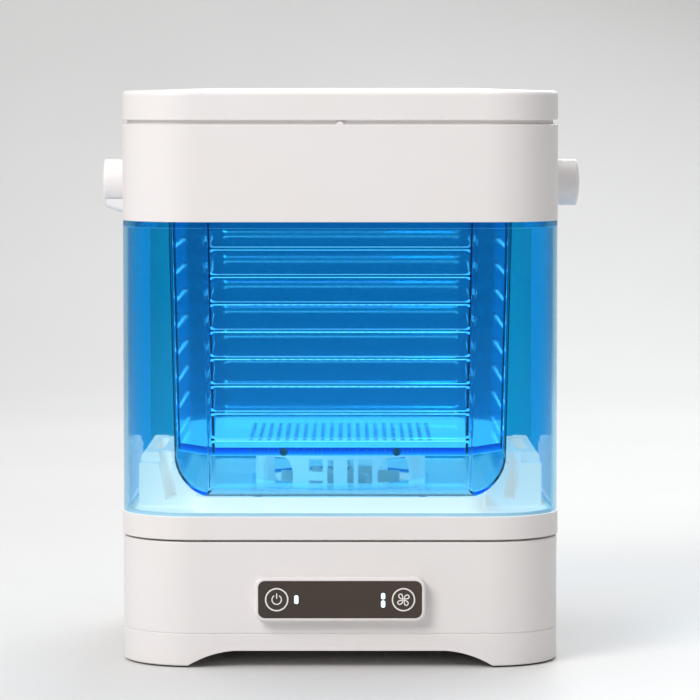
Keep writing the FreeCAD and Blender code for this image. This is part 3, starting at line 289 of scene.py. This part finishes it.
def circuit_board(name):
    """Green solder mask over copper tracks."""
    g = Graph(name)
    cells = g.add("ShaderNodeTexBrick", {"offset": 0.37, "squash": 0.6}, Vector=g.place, Scale=140.0)
    cells.inputs["Mortar Size"].default_value = 0.03
    tracks = g.math("MULTIPLY", cells.outputs["Fac"], g.math("GREATER_THAN", g.noise(60.0, 1.0), 0.48))
    mask = g.blend(g.spread(g.noise(90.0), 0.0, 1.0), (0.008, 0.11, 0.04), (0.012, 0.15, 0.06))
    tone = g.blend(tracks, mask, (0.05, 0.26, 0.09))
    normal = g.bump(tracks, 0.3, 0.00005)
    return g.finish(g.principled(
        Base_Color=tone, Roughness=0.3, Normal=normal, Coat_Weight=0.5, Coat_Roughness=0.15,
    ))


def chip_black(name):
    g = Graph(name)
    tone = g.blend(g.spread(g.noise(300.0), 0.0, 1.0), (0.02, 0.02, 0.022), (0.04, 0.04, 0.042))
    normal = g.bump(g.noise(2500.0), 0.3, 0.00005)
    return g.finish(g.principled(Base_Color=tone, Roughness=0.55, Normal=normal))


def node_materials():
    """Every CAD node and the material it wears."""
    white = moulded_plastic("white_plastic", WHITE)
    # Painted light: the ring's top, the saddles and the impeller cage (in blue) glow in the tank's shade
    ring_white = moulded_plastic("ring_plastic", WHITE, glow=0.42, above=0.0825, hue=(1.0, 0.9, 0.86))
    inner_white = moulded_plastic("inner_white_plastic", INNER_WHITE, 0.48, 0.15, 0.006)
    saddle_white = moulded_plastic("saddle_plastic", INNER_WHITE, 0.48, 0.15, 0.006, glow=0.2)
    cage_white = moulded_plastic(
        "cage_plastic", INNER_WHITE, 0.48, 0.15, 0.006, glow=0.45, hue=(0.25, 0.62, 0.9),
    )
    shell = clear_plastic("blue_shell", (0.004, 0.37, 0.68), 170.0, (0.15, 0.6, 0.95))
    tank = clear_plastic("blue_tank", (0.95, 1.0, 1.0), 170.0, (0.05, 0.5, 0.85), 0.02)
    # Painted light: the basket's slot lips and the tray's top glow, as painted highlights and a painted
    # reflection
    mesh = clear_plastic("blue_basket", (0.95, 1.0, 1.0), 300.0, (0.05, 0.5, 0.85), 0.03, 0.03, 0.8)
    tray = clear_plastic("blue_tray", (0.95, 1.0, 1.0), 150.0, (0.5, 0.8, 1.0), 0.05, 0.03, 0.34)
    steel = metal("satin_steel", (0.6, 0.6, 0.61), 0.32, (1, 1, 8))
    zinc = metal("zinc_screws", (0.62, 0.62, 0.6), 0.35, (1, 1, 1), 900.0)
    return {
        white: "base_shell bottom_cover panel_bezel collar handle_rest lid_shell handle_bail hub_caps",
        ring_white: "tank_ring",
        inner_white: "impeller spindle_cap lid_liner",
        saddle_white: "tank_cradles",
        cage_white: "impeller_guard",
        shell: "outer_shell",
        tank: "inner_tank",
        mesh: "basket",
        tray: "basket_floor",
        steel: "motor_can motor_bracket motor_shaft motor_bearings impeller_spindle pivot_pins"
               " dc_socket_nut",
        zinc: "cover_screws panel_board_screws driver_board_screws bracket_screws motor_plate_screws"
              " cradle_screws lid_screws drive_set_screw",
        metal("pin_steel", (0.25, 0.27, 0.3), 0.3): "floor_pins",
        metal("rotor_iron", (0.42, 0.4, 0.38), 0.45, (1, 1, 30), 700.0): "motor_rotor",
        metal("cast_alloy", (0.7, 0.7, 0.71), 0.4, (1, 1, 1), 300.0): "motor_front_plate drive_disc",
        metal("magnet_nickel", (0.72, 0.72, 0.74), 0.14, scale=200.0): "drive_magnets impeller_magnets",
        metal("bronze_bush", (0.62, 0.42, 0.2), 0.38, (1, 1, 10)): "impeller_bush",
        rubber("black_rubber", (0.03, 0.03, 0.032)): "foot_strip motor_grommets",
        rubber("ferrite", (0.045, 0.045, 0.05), 0.6): "motor_magnets",
        rubber("cable_sheath", (0.04, 0.04, 0.045), 0.5): "wiring_loom",
        rubber("grip_rubber", (0.30, 0.31, 0.32), 0.62): "handle_grip",
        silicone("clear_silicone", (0.78, 0.82, 0.85)): "shell_seal collar_gasket lid_seal",
        dark_sheet("panel_film", (0.038, 0.023, 0.015)): "panel_overlay power_button speed_button",
        circuit_board("solder_mask"): "control_board driver_board",
        chip_black("component_black"): "driver_components tact_switches dc_socket",
        glowing("power_light", (0.62, 0.85, 1.0), 1.7): "power_led_lens",
        glowing("speed_light", (0.62, 0.85, 1.0), 1.5): "speed_led_lenses",
        glowing("lamp_chip", (1.0, 0.95, 0.8), 1.0): "indicator_leds",
    }


def dress_nodes():
    missing = set(NODES)
    for material, names in node_materials().items():
        for name in names.split():
            slots = NODES[name].data.materials
            slots.clear()
            slots.append(material)
            missing.discard(name)
    if missing:
        raise RuntimeError(f"no material for {sorted(missing)}")


# ---------------------------------------------------------------- prints on the panel
def mesh_piece(name, form, material, body):
    """Turns a finished bmesh into a piece that rides on a body."""
    bmesh.ops.recalc_face_normals(form, faces=form.faces)
    mesh = bpy.data.meshes.new(name)
    form.to_mesh(mesh)
    form.free()
    mesh.materials.append(material)
    piece = bpy.data.objects.new(name, mesh)
    bpy.context.scene.collection.objects.link(piece)
    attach(piece, body)
    return piece


def stroke(form, points, width, closed, centre, face_y):
    """Adds a printed line of even width to form; points are millimetres on the panel, around centre."""
    count = len(points)
    edges = []
    for i, (x, z) in enumerate(points):
        before = points[i - 1] if closed or i else points[i]
        after = points[(i + 1) % count] if closed or i < count - 1 else points[i]
        along = Vector((after[0] - before[0], after[1] - before[1])).normalized()
        edges.append([(x + s * along.y * width / 2, z - s * along.x * width / 2) for s in (-1, 1)])
    layers = []
    for depth in (INK_PROUD, -INK_SUNK):
        layers.append([
            [form.verts.new((centre[0] + u * MM, face_y - depth, centre[1] + v * MM)) for u, v in pair]
            for pair in edges
        ])
    front, back = layers
    for i in range(count if closed else count - 1):
        j = (i + 1) % count
        form.faces.new((front[i][0], front[j][0], front[j][1], front[i][1]))
        form.faces.new((back[i][0], back[i][1], back[j][1], back[j][0]))
        for side in (0, 1):
            form.faces.new((front[i][side], back[i][side], back[j][side], front[j][side]))
    if not closed:
        for i in (0, count - 1):
            form.faces.new((front[i][0], front[i][1], back[i][1], back[i][0]))


def arc_points(radius, start, end, steps):
    angles = [math.radians(start + (end - start) * i / steps) for i in range(steps + 1)]
    return [(radius * math.cos(a), radius * math.sin(a)) for a in angles]


def bezier(a, b, c, d, steps):
    places = []
    for i in range(steps):
        t = i / steps
        weights = ((1 - t) ** 3, 3 * t * (1 - t) ** 2, 3 * t * t * (1 - t), t ** 3)
        places.append(tuple(sum(w * p[k] for w, p in zip(weights, (a, b, c, d))) for k in (0, 1)))
    return places


def turned(points, degrees):
    c, s = math.cos(math.radians(degrees)), math.sin(math.radians(degrees))
    return [(x * c - z * s, x * s + z * c) for x, z in points]


def button_print(name, node, body, marks, ink):
    """The ring round a button's edge and the symbol inside it."""
    low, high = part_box(node)
    centre = ((low[0] + high[0]) / 2, (low[2] + high[2]) / 2)
    form = bmesh.new()
    stroke(form, arc_points(RING_R, 0, 360, 72)[:-1], RING_LINE, True, centre, low[1])
    for points, closed in marks:
        stroke(form, points, MARK_LINE, closed, centre, low[1])
    mesh_piece(name, form, ink, body)


def power_marks():
    return [(arc_points(POWER_R, 122, 418, 40), False), ([(0, 0.5), (0, 2.0), (0, 3.4)], False)]


def fan_marks():
    """Four hollow blades round a small hub."""
    blade = bezier((0.55, 0.25), (1.0, 1.9), (3.3, 2.5), (3.5, 0.7), 12)
    blade += bezier((3.5, 0.7), (3.55, -0.5), (1.9, -0.35), (0.55, 0.25), 12)
    hub = arc_points(0.45, 0, 360, 16)[:-1]
    return [(turned(blade, 90 * i + 20), True) for i in range(4)] + [(hub, True)]


def panel_prints():
    ink = print_ink("white_ink", (0.80, 0.78, 0.74))
    button_print("power_print", "power_button", "power_key", power_marks(), ink)
    button_print("speed_print", "speed_button", "speed_key", fan_marks(), ink)


# ---------------------------------------------------------------- floor, light and camera
def pale_floor():
    """Floor with a raised back. Seen from behind or below it is clear, so it never hides the object."""
    mesh = bpy.data.meshes.new("floor")
    form = bmesh.new()
    front, back, wide, rise, bend, steps = -3.2, 2.6, 4.0, 3.2, 0.9, 16
    profile = [(front, 0.0), (back - bend, 0.0)]
    for i in range(1, steps + 1):
        angle = math.radians(90 * i / steps)
        profile.append((back - bend + bend * math.sin(angle), bend - bend * math.cos(angle)))
    profile.append((back, rise))
    rows = [[form.verts.new((x, y, z)) for y, z in profile] for x in (-wide, wide)]
    for i in range(len(profile) - 1):
        form.faces.new((rows[0][i], rows[1][i], rows[1][i + 1], rows[0][i + 1]))
    form.to_mesh(mesh)
    form.free()
    floor = bpy.data.objects.new("floor", mesh)
    bpy.context.scene.collection.objects.link(floor)
    for face in mesh.polygons:
        face.use_smooth = True
    g = Graph("pale_floor")
    tone = g.blend(g.spread(g.noise(3.0), 0.0, 1.0), (0.70, 0.69, 0.675), (0.73, 0.72, 0.705))
    sides = g.add("ShaderNodeMixShader")
    g.feed(sides.inputs[0], g.add("ShaderNodeNewGeometry").outputs["Backfacing"])
    g.feed(sides.inputs[1], g.principled(Base_Color=tone, Roughness=0.55).outputs[0])
    g.feed(sides.inputs[2], g.add("ShaderNodeBsdfTransparent").outputs[0])
    mesh.materials.append(g.finish(sides))


def soft_light(name, place, target, size, power, colour=(1, 1, 1)):
    lamp = bpy.data.lights.new(name, "AREA")
    lamp.shape = "RECTANGLE"
    lamp.size, lamp.size_y = size
    lamp.energy = power
    lamp.color = colour
    obj = bpy.data.objects.new(name, lamp)
    obj.location = place
    obj.rotation_euler = (Vector(target) - Vector(place)).to_track_quat("-Z", "Y").to_euler()
    bpy.context.scene.collection.objects.link(obj)


def studio():
    soft_light("key", (-1.5, -1.9, 1.9), (0, 0, 0.15), (1.3, 1.3), 57, (1.0, 0.98, 0.965))
    soft_light("fill", (2.1, -1.5, 0.9), (0, 0, 0.15), (1.5, 1.5), 3, (1.0, 0.92, 0.85))
    soft_light("top", (0.0, 0.3, 2.2), (0, 0, 0.1), (1.6, 1.2), 22)
    soft_light("rim", (0.6, 1.9, 1.3), (0, 0, 0.2), (1.2, 0.8), 18, (0.92, 0.97, 1.0))
    world = bpy.data.worlds.new("studio")
    world.use_nodes = True
    world.node_tree.nodes["Background"].inputs[0].default_value = (0.92, 0.95, 1.0, 1.0)
    world.node_tree.nodes["Background"].inputs[1].default_value = 0.38
    bpy.context.scene.world = world


def camera():
    """Straight ahead, with the eye just above the lid."""
    eye, aim = Vector((0.0054, -2.196, 0.317)), Vector((0.0054, -0.120, 0.1739))
    data = bpy.data.cameras.new("camera")
    data.sensor_width = 36.0
    data.lens = 197.2
    data.clip_end = 20.0
    obj = bpy.data.objects.new("camera", data)
    obj.location = eye
    obj.rotation_euler = (aim - eye).to_track_quat("-Z", "Y").to_euler()
    bpy.context.scene.collection.objects.link(obj)
    bpy.context.scene.camera = obj


def light_paths():
    cycles = bpy.context.scene.cycles
    cycles.max_bounces = 32
    cycles.transmission_bounces = 32
    cycles.transparent_max_bounces = 48
    cycles.diffuse_bounces = 4
    cycles.glossy_bounces = 6
    cycles.caustics_reflective = False
    cycles.caustics_refractive = False
    cycles.sample_clamp_indirect = 6.0
    cycles.use_denoising = True
    bpy.context.scene.view_settings.view_transform = "Standard"


dress_nodes()
panel_prints()
pale_floor()
studio()
camera()
light_paths()
